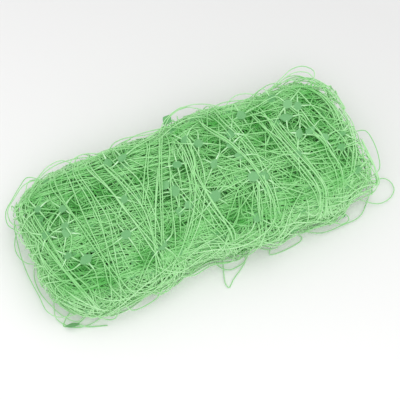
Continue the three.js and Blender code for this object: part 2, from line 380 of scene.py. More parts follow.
def ring_axes(points):
    """Two axes across a path at each of its points, turned as little as can be along it."""
    tangents = unit_tangents(points)
    across = np.empty_like(points)
    start = np.cross(tangents[0], (0.0, 0.0, 1.0))
    if np.linalg.norm(start) < 0.1:
        start = np.cross(tangents[0], (1.0, 0.0, 0.0))
    across[0] = start / np.linalg.norm(start)
    for index in range(1, len(points)):
        turned = across[index - 1] - tangents[index] * across[index - 1].dot(tangents[index])
        across[index] = turned / math.sqrt(turned.dot(turned))
    return across, np.cross(tangents, across)


class Parts:
    """Gathers many small closed pieces into one mesh with its map and its looks."""

    def __init__(self):
        self.points = []
        self.looks = {"tone": [], "white": [], "depth": [], "rim": []}
        self.faces = []
        self.maps = []
        self.sizes = []
        self.count = 0

    def add(self, points, faces, maps, **looks):
        """faces has arrays with a row of indices for each face, and maps a place for each corner."""
        self.points.append(points)
        for name, values in looks.items():
            self.looks[name].append(np.broadcast_to(values, len(points)))
        for rows, places in zip(faces, maps):
            self.faces.append((rows + self.count).ravel())
            self.maps.append(places.reshape(-1, 2))
            self.sizes.append(np.full(len(rows), rows.shape[1]))
        self.count += len(points)

    def mesh(self, name, smooth):
        points = (np.vstack(self.points) - BODY_MIDDLE) * MM
        corners = np.concatenate(self.faces)
        sizes = np.concatenate(self.sizes)
        mesh = bpy.data.meshes.new(name)
        mesh.vertices.add(len(points))
        mesh.vertices.foreach_set("co", points.astype(np.float32).ravel())
        mesh.loops.add(len(corners))
        mesh.loops.foreach_set("vertex_index", corners.astype(np.int32))
        mesh.polygons.add(len(sizes))
        starts = np.concatenate([[0], np.cumsum(sizes)[:-1]])
        mesh.polygons.foreach_set("loop_start", starts.astype(np.int32))
        mesh.polygons.foreach_set("use_smooth", np.full(len(sizes), smooth))
        mesh.update(calc_edges=True)
        for attribute, values in self.looks.items():
            layer = mesh.attributes.new(attribute, "FLOAT", "POINT")
            layer.data.foreach_set("value", np.concatenate(values).astype(np.float32))
        layer = mesh.uv_layers.new(name="OFBake")
        layer.uv.foreach_set("vector", np.vstack(self.maps).astype(np.float32).ravel())
        return mesh

    def build(self, name, material, smooth):
        mesh = self.mesh(name, smooth)
        mesh.materials.append(material)
        piece = bpy.data.objects.new(name, mesh)
        bpy.context.collection.objects.link(piece)
        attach(piece, "root")
        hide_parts("net")


def map_rows(lengths):
    """Lays strips of these lengths side by side in rows: each strip's start, its row, and the rows."""
    longest = max(lengths)
    places = [None] * len(lengths)
    filled, row = 0.0, 0
    full = longest * 1.001  # so that rounding never moves a strip that just fits
    for index in np.argsort(lengths)[::-1]:
        if filled + lengths[index] > full:
            filled = 0.0
            row += 1
        places[index] = (filled / longest, row)
        filled += lengths[index]
    return places, row + 1, longest


def tube_points(strand):
    """The corners of all of a strand's rings."""
    turn = (np.arange(SIDES) / SIDES * math.tau)[:, None]
    across, over = ring_axes(strand.points)
    ring = np.cos(turn) * across[:, None, :] + np.sin(turn) * over[:, None, :]
    points = strand.points[:, None, :] + ring * strand.radius[:, None, None]
    return points.reshape(-1, 3)


def tube_faces(count):
    """The sides of a tube with this many rings, and its two caps."""
    ring = np.arange(SIDES)
    start = np.arange(count - 1)[:, None] * SIDES
    first = (start + ring).ravel()
    second = (start + (ring + 1) % SIDES).ravel()
    sides = columns(first, second, second + SIDES, first + SIDES)
    return sides, np.stack([ring[::-1], ring + (count - 1) * SIDES])


def tube_maps(u, v):
    """The map of a tube's sides and caps, from u at each ring and v at each corner of a ring."""
    along, around = np.divmod(np.arange((len(u) - 1) * SIDES), SIDES)
    corners = ((0, 0), (0, 1), (1, 1), (1, 0))
    sides = [columns(u[along + on], v[around + over]) for on, over in corners]
    first = columns(np.full(SIDES, u[0]), v[:SIDES][::-1])
    last = columns(np.full(SIDES, u[-1]), v[:SIDES])
    return columns(*sides), np.stack([first, last])


def strand_mesh(name, strands, material):
    """One mesh of all the given strands."""
    parts = Parts()
    places, rows, longest = map_rows([strand.length for strand in strands])
    for strand, (start, row) in zip(strands, places):
        u = start + (strand.where / longest) * 0.995 + 0.0015
        v = (row + 0.06 + 0.88 * np.arange(SIDES + 1) / SIDES) / rows
        parts.add(
            tube_points(strand), tube_faces(len(u)), tube_maps(u, v),
            tone=strand.tone, white=np.repeat(strand.white, SIDES),
            depth=np.repeat(strand.depth, SIDES), rim=np.repeat(strand.rim, SIDES),
        )
    parts.build(name, material, True)


def plate_outline():
    """A junction plate's outline in its own plane: four short points with hollow sides between."""
    steps = len(PLATE_REACH)
    reach = np.concatenate([PLATE_REACH, (1.0,), PLATE_REACH[:0:-1]])
    reach = np.concatenate([reach, reach])[: steps * 4]
    angle = np.arange(len(reach)) / len(reach) * math.tau
    return columns(np.cos(angle) * reach, np.sin(angle) * reach)


def plate_points(outline, middle, along, up, size, curl):
    """A plate's points: its rim below and above, and the middles of its lower and upper face."""
    along = along / np.linalg.norm(along)
    side = np.cross(up, along)
    side /= np.linalg.norm(side)
    up = np.cross(along, side)
    flat = outline * (np.array([PLATE["length"] / 2, PLATE["width"] / 2]) * size)
    bend = curl * (outline[:, 0] ** 2 - outline[:, 1] ** 2)
    rim = middle + flat[:, :1] * along + flat[:, 1:] * side + bend[:, None] * up
    points = np.vstack([
        rim - up * PLATE["rim"] / 2,
        rim + up * PLATE["rim"] / 2,
        middle - up * PLATE["middle"] / 2,
        middle + up * PLATE["middle"] / 2,
    ])
    points[:, 2] += max(0.0, -points[:, 2].min())
    return points


def plate_faces(corners):
    """The walls of a plate with this many corners, and its lower and upper face."""
    low = np.arange(corners)
    after = (low + 1) % corners
    walls = columns(low, after, after + corners, low + corners)
    bottom = columns(np.full(corners, 2 * corners), after, low)
    top = columns(np.full(corners, 2 * corners + 1), low + corners, after + corners)
    return walls, np.vstack([bottom, top])


def plate_map(outline, number, grid):
    """The places of a plate's points on the map, in its own cell of a square grid."""
    middle = np.array(divmod(number, grid), dtype=float)[::-1] + 0.5
    spot = (middle + 0.42 * outline) / grid
    return np.vstack([spot, spot, middle / grid, middle / grid])


def plate_mesh(name, plates, material):
    """One mesh of junction plates. A plate has its middle, its length's and its face's directions,
    its size as a share, how far it curls in mm, and its tone."""
    parts = Parts()
    outline = plate_outline()
    faces = plate_faces(len(outline))
    grid = int(math.ceil(math.sqrt(len(plates))))
    for number, (*shape, tone) in enumerate(plates):
        points = plate_points(outline, *shape)
        spots = plate_map(outline, number, grid)
        parts.add(
            points, faces, [spots[rows] for rows in faces],
            tone=tone, white=0.0, depth=depth_inside(points), rim=0.0,
        )
    parts.build(name, material, False)


# The net's long strands, gathered side by side and laid back and forth

RUN_STATIONS = np.arange(-0.8, 0.81, 0.2)  # shares of the half length
BUNCH_WAVES = (2, 4.2, 420, 170)  # number, reach, and the longest and shortest length
STRAND_WAVES = (2, 1.8, 260, 90)
TURN_START = 0.9  # share of the way to a run's end at which its strands turn
REACH = 0.94  # share of the way to the bundle's edges that a long strand goes


def random_waves(count, reach, longest, shortest):
    """Rows of a wave's reach, its length and its shift."""
    reaches = rng.normal(0, reach, count)
    lengths = rng.uniform(shortest, longest, count)
    return columns(reaches, lengths, rng.uniform(0, math.tau, count))


def wave_sum(waves, x):
    return sum(reach * np.sin(x / length * math.tau + shift) for reach, length, shift in waves)


def run_height(run):
    """The share of the height at which a run lies: runs lie closer towards the top and the base."""
    level = 2 * (run + 0.5) / RUNS - 1
    return 0.5 + 0.5 * math.copysign(abs(level) ** 0.62, level)


def run_lines(run):
    """The lines of one run's strands: they lie in a few bunches that each wander by themselves."""
    bunches = np.sort(rng.uniform(-1, 1, BUNCHES_IN_RUN)) * HALF_WIDTH * 0.93
    flip = either_way()
    drift = rng.normal(0, 0.035)
    shared = [(rng.normal(drift, 0.075), random_waves(*BUNCH_WAVES)) for _ in bunches]
    lines = []
    for number in range(LONG_STRANDS):
        bunch = int(number * BUNCHES_IN_RUN / LONG_STRANDS)
        slant, waves = shared[bunch]
        base = flip * bunches[bunch] + rng.normal(0, 2.2)
        waves = np.vstack([waves, random_waves(*STRAND_WAVES)])
        lift = random_waves(1, 0.9 / RUNS, 160, 80)
        slant = slant + rng.normal(0, 0.03)
        lines.append((base, slant, waves, lift, rng.uniform(0.86, 1.04, 2)))
    return lines


def line_place(run, line, x):
    base, slant, waves, lift, _ = line
    return x, base + slant * x + wave_sum(waves, x), run_height(run) + wave_sum(lift, x)


all_lines = [run_lines(run) for run in range(RUNS)]


def turn_places(run, number, way):
    """Places at the end of a run, where a strand turns back to its line in the next one."""
    line, above = all_lines[run][number], all_lines[run + 1][number]
    *_, ends = line
    end = HALF_LENGTH * ends[0 if way > 0 else 1] * way
    start = np.array(line_place(run, line, end * TURN_START))
    stop = np.array(line_place(run + 1, above, end * TURN_START))
    depth = min(0.22 * abs(stop[1] - start[1]) + 5, 30)
    places = []
    for share in (0.0, 0.25, 0.5, 0.75, 1.0):
        ease = np.array([0, 0.5 - 0.5 * math.cos(share * math.pi), share])
        place = start + (stop - start) * ease
        place[0] = end - way * depth * (1 - math.sin(share * math.pi))
        places.append(tuple(place))
    return places


def long_path(number):
    """The way of one long strand through all the runs."""
    places = []
    for run in range(RUNS):
        way = 1 if run % 2 == 0 else -1
        for x in RUN_STATIONS * HALF_LENGTH * way:
            places.append(line_place(run, all_lines[run][number], x))
        if run < RUNS - 1:
            places.extend(turn_places(run, number, way))
    return places


def junction_places(path):
    """Distances along a long strand at which its junctions lie."""
    spacing = distances(path)[-1] / JUNCTIONS_ALONG
    drift = rng.normal(0, 5, JUNCTIONS_ALONG)
    return (np.arange(JUNCTIONS_ALONG) + 0.5) * spacing + drift


def long_strand(number):
    """A long strand, and where its junctions are, which way it runs there, and where they are on
    its loose path."""
    loose = smooth_path(long_path(number))
    reach = REACH + wave_sum(random_waves(3, 0.04, 900, 200), distances(loose))
    path = press(loose, np.clip(reach, 0.88, 1.03))
    along = distances(path)
    places = junction_places(path)
    arms = [(place, arm_whiteness()) for place in places]
    strand = Strand(path, tone_of("net"), arms)
    spots = at_distance(path, along, places)
    ahead = at_distance(path, along, places + 2) - at_distance(path, along, places - 2)
    return strand, (spots, ahead, at_distance(loose, along, places))


long_strands, junctions = zip(*[long_strand(number) for number in range(LONG_STRANDS)])


# The cross strands between neighbouring long ones, each folded into a narrow hairpin

HAIRPIN_PLACES = 9
HAIRPIN_WIDTH = (2.0, 20.0)
HAIRPIN_TRIES = 6
HAIRPIN_ALONG = 0.55  # share of them that point along the bundle


def hairpin_way(middle, reach):
    """The direction in which a hairpin points out from between its junctions."""
    for _ in range(HAIRPIN_TRIES):
        if rng.random() < HAIRPIN_ALONG:
            turn = rng.normal(0, 0.35)
        else:
            turn = rng.uniform(-1.5, 1.5)
        out = np.array([math.cos(turn) * either_way(), math.sin(turn)])
        tip = np.abs(middle + out * reach)
        if tip[0] < HALF_LENGTH * 0.98 and tip[1] < HALF_WIDTH * 0.96:
            break
    return out


def cross_path(start, end):
    """A loose path of about one mesh width from junction to junction, bowed out into a hairpin."""
    gap = math.hypot(start[0] - end[0], start[1] - end[1])
    narrow, wide = HAIRPIN_WIDTH
    width = narrow + (wide - narrow) * rng.random() ** 1.5
    reach = max(MESH_WIDTH - gap - 1.4 * width, 24) / 2
    out = hairpin_way((start[:2] + end[:2]) / 2, reach)
    square = np.array([-out[1], out[0]])
    if square.dot(end[:2] - start[:2]) > 0:
        square = -square
    lean = rng.normal(0, 10)
    lift = random_waves(2, 0.018, 1.6, 0.7)
    path = []
    for share in np.linspace(0, 1, HAIRPIN_PLACES):
        bow = math.sin(share * math.pi)
        flat = (
            start[:2] + (end[:2] - start[:2]) * share
            + out * reach * bow
            + square * (width * math.sin(share * math.tau) + lean * bow**2)
        )
        height = start[2] + (end[2] - start[2]) * share + wave_sum(lift, share) * bow
        path.append((*flat, height))
    return smooth_path(path)


def cross_strand(start, end):
    path = press(cross_path(start, end), rng.uniform(0.9, 1.03))
    arms = [(0.0, arm_whiteness()), (distances(path)[-1], arm_whiteness())]
    return Strand(path, tone_of("net"), arms)


def inner_plate(spot, ahead):
    """A junction plate inside the bundle."""
    tilt = rng.normal(0, 0.45, 2)
    up = np.array([tilt[0], tilt[1], 1.0])
    turned = ahead / np.linalg.norm(ahead) + rng.normal(0, 0.3, 3) * (1, 1, 0.3)
    size = rng.uniform(0.72, 1.12)
    if depth_inside(spot[None])[0] < 0.15:
        size *= 0.7
    return spot, turned, up, size, rng.normal(0, 0.7), tone_of("net")


cross_strands = []
for (_, _, starts), (_, _, stops) in zip(junctions[:-1], junctions[1:]):
    for start, end in zip(starts, stops):
        cross_strands.append(cross_strand(start, end))

plates = [inner_plate(*row) for spots, ahead, _ in junctions for row in zip(spots, ahead)]


# Strands that cross the top in bunches, as they lie from the far edge to the near one: the
# number of strands, their spread in mm at the two ends, and the places that the bunch passes

TOP_BUNCHES = (
    (6, (9, 6), ((-152, 31), (-144, 2), (-142, -27), (-135, -62))),
    (2, (4, 3), ((-121, 56), (-119, 25), (-105, -24), (-100, -67))),
    (4, (8, 5), ((-100, 60), (-92, 26), (-96, -25), (-102, -66))),
    (4, (7, 9), ((-81, 56), (-68, 11), (-57, -34), (-57, -49))),
    (4, (9, 6), ((-65, 54), (-52, 1), (-49, -34), (-60, -64))),
    (2, (5, 5), ((-25, 60), (-33, 34), (-47, 4))),
    (5, (8, 12), ((-6, 60), (-29, 3), (-45, -50), (-58, -80))),
    (4, (8, 4), ((9, 46), (5, 20), (0, -4))),
    (5, (12, 10), ((7, 34), (3, -14), (8, -48), (12, -64))),
    (5, (10, 12), ((6, 50), (3, -14), (-15, -39), (-33, -70))),
    (6, (12, 5), ((38, 52), (53, 17), (60, -18), (60, -50))),
    (2, (4, 3), ((57, 52), (61, 10), (62, -5), (58, -40))),
    (5, (5, 9), ((52, -26), (48, -51), (39, -80))),
    (4, (7, 7), ((83, 47), (96, 1), (104, -59))),
    (6, (6, 6), ((94, 26), (101, -17), (109, -58))),
    (2, (8, 5), ((123, 2), (131, -35), (131, -53))),
    (1, (0, 0), ((142, 5), (147, -18), (150, -44))),
    (2, (6, 4), ((166, -4), (159, -31), (150, -49))),
    (1, (0, 0), ((122, 34), (129, 0), (133, -36))),
    (1, (0, 0), ((110, 58), (118, 20), (128, -20), (134, -60))),
    (1, (0, 0), ((134, 56), (140, 24), (150, -12))),
)
BUNCH_PLACES = 5
BUNCH_WIDTH = 1.4  # times the spread
BUNCH_RADIUS = 0.57
EDGE_FROM = 0.7  # share of the half width past which a strand runs over the long edge


def over_edge(place, ahead):
    """Places of a strand past its last one: over the long edge and down the side, where it leans."""
    edge = math.copysign(1.0, place[1]) * HALF_WIDTH
    lean = 20 * ahead[0] + rng.normal(0, 12)
    return [
        on_top(place[0] + 0.4 * lean, edge * 1.02, rng.uniform(0.74, 0.84)),
        on_top(place[0] + 0.9 * lean, edge * rng.uniform(0.98, 1.06), rng.uniform(0.5, 0.66)),
        on_top(place[0] + 1.5 * lean, edge * rng.uniform(0.72, 0.86), rng.uniform(0.2, 0.45)),
    ]


def past_end(place, before, offset):
    """Places past a strand's last one: over the long edge if that is near, and otherwise inside."""
    ahead = (place - before) / np.linalg.norm(place - before)
    if abs(place[1]) > EDGE_FROM * HALF_WIDTH:
        return over_edge((place[0] + offset, place[1]), ahead)
    first = place + ahead * 14 + (offset + rng.normal(0, 3), 0)
    second = first + ahead * 18
    return [on_top(*first, 0.92), on_top(*second, 0.78)]


def bunch_line(places):
    """Places at even steps across the bundle, on one curve by the given ones."""
    places = np.array(places, dtype=float)
    bend = np.polyfit(places[:, 1], places[:, 0], min(2, len(places) - 2))
    across = np.linspace(places[0, 1], places[-1, 1], BUNCH_PLACES)
    return columns(np.polyval(bend, across), across)


def bunch_strand(line, spread, place):
    """A strand of a bunch. Past its last place it runs over the edge or into the bundle."""
    ends = (place + rng.normal(0, 0.4, 2)) * spread
    shift = np.linspace(ends[0], ends[1], BUNCH_PLACES)
    bow = rng.normal(0, 2.0) * np.sin(np.linspace(0, math.pi, BUNCH_PLACES))
    bow = bow + rng.normal(0, 0.8, BUNCH_PLACES)
    lift = rng.uniform(0.4, 2.6)
    path = past_end(line[0], line[1], shift[0])[::-1]
    for (x, y), aside in zip(line, shift + bow):
        path.append(on_top(x + aside, y, 0.975) + (0, 0, lift))
    path.extend(past_end(line[-1], line[-2], shift[-1]))
    return Strand(smooth_path(path), tone_of("bunch"), step=TOP_STEP, radius=BUNCH_RADIUS)


top_strands = []
for count, spread, places in TOP_BUNCHES:
    line = bunch_line(places)
    for number in range(count):
        place = BUNCH_WIDTH * (number + 0.5) / count - BUNCH_WIDTH / 2
        top_strands.append(bunch_strand(line, spread, place))


# Single strands that wander close under the bundle's top and its base

STRAYS = (
    # number, share of the height, length, radius of the bend, y, heading and its spread in degrees
    (230, (0.92, 1.0), (80, 230), (150, 900), (-68, 70), -8, 10),
    (125, (0.93, 1.0), (70, 150), (100, 700), (-50, 50), 102, 12),
    (60, (0.86, 0.95), (60, 150), (60, 300), (-60, 60), 90, 80),
    (130, (0.91, 1.0), (35, 110), (9, 34), (-68, 10), 0, 180),
    (60, (0.91, 1.0), (35, 110), (12, 44), (5, 66), 0, 180),
    (40, (0.02, 0.14), (60, 150), (45, 260), (-55, 55), 0, 60),
)
STRAY_PLACES = 10
STRAY_SAG = 0.8  # share of a hollow's depth that they follow


def bent_line(middle, heading, length, turning):
    """Places on an uneven bend about its middle, which turns by an angle in all."""
    step = length / STRAY_PLACES
    place = np.zeros(2)
    heading -= turning / 2
    spots = []
    for _ in range(STRAY_PLACES):
        spots.append(place)
        place = place + step * np.array([math.cos(heading), math.sin(heading)])
        heading += turning / STRAY_PLACES * rng.uniform(0.4, 1.6)
    spots = np.array(spots)
    return spots + (middle - spots.mean(axis=0))


def stray_strand(levels, lengths, radii, rows, way, spread):
    """A bent strand, whose ends sink a little into the bundle."""
    middle = np.array([rng.uniform(-152, 152), rng.uniform(*rows)])
    heading = math.radians(rng.normal(way, spread))
    length = rng.uniform(*lengths)
    turning = length / rng.uniform(*radii) * either_way()
    level = rng.uniform(*levels)
    line = bent_line(middle, heading, length, turning)
    path = [
        on_top(x, y, level + (0.5 - level) * 0.5 * abs(share) ** 5)
        for (x, y), share in zip(line, np.linspace(-1, 1, STRAY_PLACES))
    ]
    path = smooth_path(path)
    path[:, 2] -= STRAY_SAG * dent(path)
    return Strand(path, tone_of("stray"), step=TOP_STEP)


stray_strands = [stray_strand(*row) for count, *row in STRAYS for _ in range(count)]


# Strands that bend about on the bundle's long sides

WALL_STRANDS = (
    # side, number, share of the way out from the middle
    (-1.0, 100, (0.91, 1.03)),
    (1.0, 75, (0.9, 1.02)),
)
WALL_SQUARENESS = 3.4
SIDE_PLACES = 9  # that a strand on a side or an end passes


def wall_place(x, side, angle, share):
    """A place round a long edge: the angle is 0 halfway up, and a right angle on the top."""
    x = pressed(np.array([float(x)]), LENGTH_PRESS, HALF_LENGTH)
    _, edge, height = edge_beside(x, side)
    out = abs(math.cos(angle)) ** (2 / WALL_SQUARENESS)
    rise = math.copysign(abs(math.sin(angle)) ** (2 / WALL_SQUARENESS), math.sin(angle))
    level = 0.47 + 0.45 * rise * share
    return np.array([x[0], side * edge[0] * out * share, height[0] * level])


def wall_strand(side, shares):
    """A bent strand on a long side, whose ends sink a little into the bundle."""
    x = rng.uniform(-158, 158)
    up = rng.uniform(-24, 34)
    heading = rng.normal(0, 0.6)
    length = rng.uniform(50, 150)
    turning = length / rng.uniform(20, 260) * either_way()
    share = rng.uniform(*shares)
    path = []
    for step in np.linspace(-1, 1, SIDE_PLACES):
        angle = math.radians(np.clip(up * 2.1, -70, 82))
        path.append(wall_place(x, side, angle, share - 0.12 * step**4))
        x += length / SIDE_PLACES * math.cos(heading)
        up += length / SIDE_PLACES * math.sin(heading)
        if not -34 < up < 42:
            heading = -heading
            turning = -turning
        heading += turning / SIDE_PLACES
    return Strand(smooth_path(path), tone_of("edge"), step=LOOP_STEP)


wall_strands = [wall_strand(side, shares) for side, count, shares in WALL_STRANDS for _ in range(count)]


# Strands that bend round the bundle's ends

END_STRANDS = 62  # at each end


def end_strand(end):
    """A strand along an end, whose own ends run back into the bundle."""
    level = rng.uniform(0.2, 0.99)
    low, high = eased(END_REACH, np.array([level]))
    out = (low if end < 0 else high)[0] * rng.uniform(0.95, 1.03)
    middle = rng.uniform(-40, 40)
    half = rng.uniform(22, 70)
    back = rng.uniform(12, 55)
    slant = rng.normal(0, 7)
    path = []
    for step in np.linspace(-1, 1, SIDE_PLACES):
        x = end * (out - back * abs(step) ** 3) + slant * step
        path.append(on_top(x, middle + half * step, level * (1 - 0.06 * step**6)))
    return Strand(smooth_path(path), tone_of("edge"), step=TOP_STEP)


end_strands = [end_strand(end) for end in (-1.0, 1.0) for _ in range(END_STRANDS)]


# Junction plates on the top: x and y, the way the length points in degrees, and the size

TOP_PLATES = (
    (-142, 42, 20, 0.8), (-144, 9, -35, 1.0), (-125, 2, 60, 1.1), (-124, 10, 10, 0.9), (-120, 29, 35, 1.0),
    (-118, -33, 15, 1.2), (-132, -22, 40, 0.9), (-66, 59, 5, 1.0), (-52, 57, 20, 0.9), (-65, 12, 50, 0.9),
    (-76, -26, 15, 1.1), (4, 71, 10, 0.9), (-25, 11, 25, 1.1), (-19, 1, 80, 1.2), (-7, 27, -10, 1.0),
    (9, 50, 40, 1.0), (-50, -51, 30, 1.1), (-22, -22, 70, 0.9), (-12, -20, 15, 1.0), (19, 39, -25, 1.0),
    (24, 10, 45, 0.9), (13, -23, 30, 1.3), (51, 37, 60, 1.1), (46, 24, 20, 0.9), (69, 54, 10, 1.1),
    (50, 9, -20, 1.0), (53, -19, 15, 1.3), (62, -23, 30, 1.1), (61, -37, 75, 0.9), (42, -60, 40, 1.1),
    (-1, -66, 10, 0.9), (106, 62, 15, 1.0), (114, 46, 30, 1.1), (122, 40, 70, 1.0), (106, 32, -15, 1.2),
    (96, 31, 40, 0.9), (122, 8, 25, 1.1), (111, 9, 60, 1.0), (132, -5, 10, 1.0), (152, -7, 35, 0.9),
    (144, -23, 5, 1.0), (101, -13, 70, 0.9), (154, -57, 20, 1.0), (90, -73, 35, 0.8),
)
ARM_ROOT = 0.7  # share of the way from a plate's middle to its point where the strand starts
ARM_WHITE_AT = 2.0  # mm from its start where the strand is whitest


def arm_strand(middle, way, half):
    """A strand from a plate, which bends off and sinks into the bundle."""
    way = way / np.linalg.norm(way)
    off = way + rng.normal(0, 0.35, 3)
    aim = middle[:2] + off[:2] * rng.uniform(28, 62)
    knee = middle + way * (half + 9)
    knee[2] = middle[2] + rng.uniform(-1.5, 0.5)
    low = on_top(aim[0], aim[1], rng.uniform(0.78, 0.93))
    half_way = (knee + low) / 2 + (0, 0, rng.uniform(0, 2))
    path = smooth_path([middle + way * half * ARM_ROOT, knee, half_way, low])
    tone = tone_of("arm")
    return Strand(path, tone, [(ARM_WHITE_AT, max(arm_whiteness(), 0.3))], TOP_STEP)


def plate_with_arms(x, y, turn, size):
    """A plate on the top, and its four strands."""
    size = size * 1.05
    middle = on_top(x, y, 0.985) + (0, 0, rng.uniform(-0.2, 1.6))
    angle = math.radians(turn)
    along = np.array([math.cos(angle), math.sin(angle), rng.normal(0, 0.12)])
    up = np.array([*rng.normal(0, 0.22, 2), 1.0])
    side = np.cross(up, along)
    half_x, half_y = PLATE["length"] * size / 2, PLATE["width"] * size / 2
    ways = ((along, half_x), (-along, half_x), (side, half_y), (-side, half_y))
    strands = [arm_strand(middle, way, half) for way, half in ways]
    plate = (middle, along, up, size, rng.normal(0, 0.6), tone_of("top plate"))
    return plate, strands


top_plates = []
for row in TOP_PLATES:
    plate, arms = plate_with_arms(*row)
    top_plates.append(plate)
    top_strands.extend(arms)


# Loose loops: the height at the ends and midway in mm, and the places that the loop passes

LOOPS = (
    (42, 45, ((92, 56), (104, 63), (123, 72), (135, 76), (147, 73), (154, 65), (150, 57), (139, 50))),
    (38, 41, ((96, 58), (110, 66), (125, 71), (139, 73), (149, 67), (151, 60), (142, 50))),
    (38, 40, ((84, 60), (104, 66), (120, 68), (132, 66), (140, 60))),
    (28, 30, ((150, -2), (162, -3), (172, -2), (178, -6), (180, -19), (178, -37), (172, -47),
        (158, -51))),
    (5, 4, ((152, -46), (163, -50), (179, -50), (184, -56), (184, -65), (176, -71), (163, -72),
        (148, -60))),
    (5, 3, ((156, -36), (163, -46), (163, -56), (154, -66), (141, -76), (123, -78), (98, -76),
        (74, -58))),
    (12, 9, ((94, -48), (102, -63), (116, -66), (128, -70), (130, -76), (121, -79), (111, -71),
        (102, -55))),
    (3, 1.4, ((64, -50), (74, -62), (80, -74), (68, -78), (46, -77), (54, -66), (57, -56))),
    (3, 1.4, ((26, -58), (23, -73), (14, -80), (4, -87), (-2, -91), (-4, -88), (-2, -77), (4, -58))),
    (5, 3, ((34, -58), (23, -73), (12, -76), (3, -76), (-3, -70), (-6, -54))),
    (14, 9, ((-150, 50), (-166, 48), (-172, 24), (-173, -5), (-171, -31), (-168, -49),
        (-160, -58), (-140, -62))),
    (18, 14, ((-148, 42), (-166, 36), (-176, 22), (-175, 10), (-168, 0), (-150, -6))),
    (8, 4, ((-156, 10), (-168, -8), (-170, -24), (-164, -44), (-156, -58), (-146, -66), (-132, -60))),
    (28, 31, ((-156, 22), (-174, 38), (-170, 51), (-161, 61), (-150, 69), (-140, 76), (-132, 70),
        (-122, 58))),
    (34, 35, ((-150, 30), (-168, 36), (-168, 50), (-158, 60), (-145, 68), (-134, 70), (-120, 60))),
    (38, 41, ((-142, 60), (-130, 69), (-117, 75), (-106, 76), (-98, 71), (-86, 60))),
    (42, 43, ((-104, 62), (-96, 71), (-83, 72), (-70, 68), (-58, 60))),
    (38, 39, ((134, 54), (146, 58), (155, 51), (160, 38), (166, 20), (167, 2), (163, -12), (154, -20))),
    (44, 46, ((52, 58), (64, 66), (74, 71), (86, 68), (98, 58))),
    (46, 49, ((-12, 60), (-2, 72), (8, 76), (20, 78), (34, 72), (46, 62))),
    (47, 51, ((-6, 62), (6, 74), (24, 77), (42, 72), (58, 62))),
    (1.2, 0.8, ((-132, -58), (-141, -67), (-154, -67), (-160, -64), (-150, -56), (-138, -54))),
    (6, 2, ((-160, -40), (-163, -56), (-152, -70), (-136, -73), (-122, -70), (-112, -62))),
)
LOOP_RADIUS = 0.48

LOOSE_PLATES = (
    # middle, the way the length points, the way its face points, size, and its strand's places
    ((-152, -68, 3.8), -12, (0.05, 0.85, 0.6), 1.3, ((-140, -74, 2.0), (-122, -80, 0.7))),
    ((3, 73, 46), 35, (0.0, 0.0, 1.0), 1.1, ((12, 78, 46), (26, 78, 45))),
)


def loop_strand(ends, midway, places):
    wander = rng.normal(0, 0.5, (len(places), 2))
    height = ends + (midway - ends) * np.sin(np.linspace(0, 1, len(places)) * math.pi)
    path = np.column_stack([np.array(places) + wander, height])
    return Strand(smooth_path(path), tone_of("loop"), step=LOOP_STEP, radius=LOOP_RADIUS)


def loose_plate(middle, turn, face, size, places):
    """A plate that lies clear of the bundle, and its strand."""
    angle = math.radians(turn)
    along = np.array([math.cos(angle), math.sin(angle), 0.0])
    middle = np.array(middle, dtype=float)
    start = middle + along * PLATE["length"] * size * ARM_ROOT / 2
    strand = Strand(smooth_path([start, *places]), 0.2, [(ARM_WHITE_AT, 0.5)], LOOP_STEP)
    return (middle, along, np.array(face), size, 0.0, 0.0), strand


loop_pieces = [loop_strand(*row) for row in LOOPS]
for row in LOOSE_PLATES:
    plate, strand = loose_plate(*row)
    top_plates.append(plate)
    loop_pieces.append(strand)


# Materials

# Noise patches in the painted shade inside the bundle
SHADE_PATCHES = {"From Min": 0.38, "From Max": 0.66, "To Min": 0.5, "To Max": 1.7}
SHEEN = {"Sheen Weight": 0.5, "Sheen Roughness": 0.6, "Sheen Tint": (0.55, 0.95, 0.5, 1)}


class Nodes:
    """A new material and its nodes. An input is a value, or another node's output."""

    def __init__(self, name):
        self.material = bpy.data.materials.new(name)
        self.material.use_nodes = True
        self.tree = self.material.node_tree

    def feed(self, node, inputs):
        for socket, value in inputs.items():
            if isinstance(value, bpy.types.NodeSocket):
                self.tree.links.new(value, node.inputs[socket])
            else:
                node.inputs[socket].default_value = value

    def node(self, kind, output, inputs, **settings):
        node = self.tree.nodes.new("ShaderNode" + kind)
        for setting, value in settings.items():
            setattr(node, setting, value)
        self.feed(node, inputs)
        return node.outputs[output]

    def attribute(self, name):
        return self.node("Attribute", "Fac", {}, attribute_name=name)

    def noise(self, **inputs):
        return self.node("TexNoise", "Fac", inputs)

    def ranged(self, value, inputs):
        return self.node("MapRange", "Result", {"Value": value, **inputs})

    def calculate(self, operation, *values, clamp=False):
        inputs = dict(enumerate(values))
        return self.node("Math", "Value", inputs, operation=operation, use_clamp=clamp)

    def mix(self, share, colour, other):
        """The colour where the share is 0, and the other one where it is 1."""
        inputs = {"Factor": share, "A": colour, "B": (*other, 1)}
        return self.node("Mix", "Result", inputs, data_type="RGBA")

    def ramp(self, share, low, middle, high):
        node = self.tree.nodes.new("ShaderNodeValToRGB")
        first, last = node.color_ramp.elements
        first.color = (*low, 1)
        last.color = (*high, 1)
        first.position = 0.1
        last.position = 0.9
        node.color_ramp.elements.new(0.5).color = (*middle, 1)
        self.feed(node, {"Fac": share})
        return node.outputs["Color"]

    def finish(self, inputs):
        """The material, with these inputs of its shader."""
        self.feed(self.tree.nodes["Principled BSDF"], inputs)
        return self.material


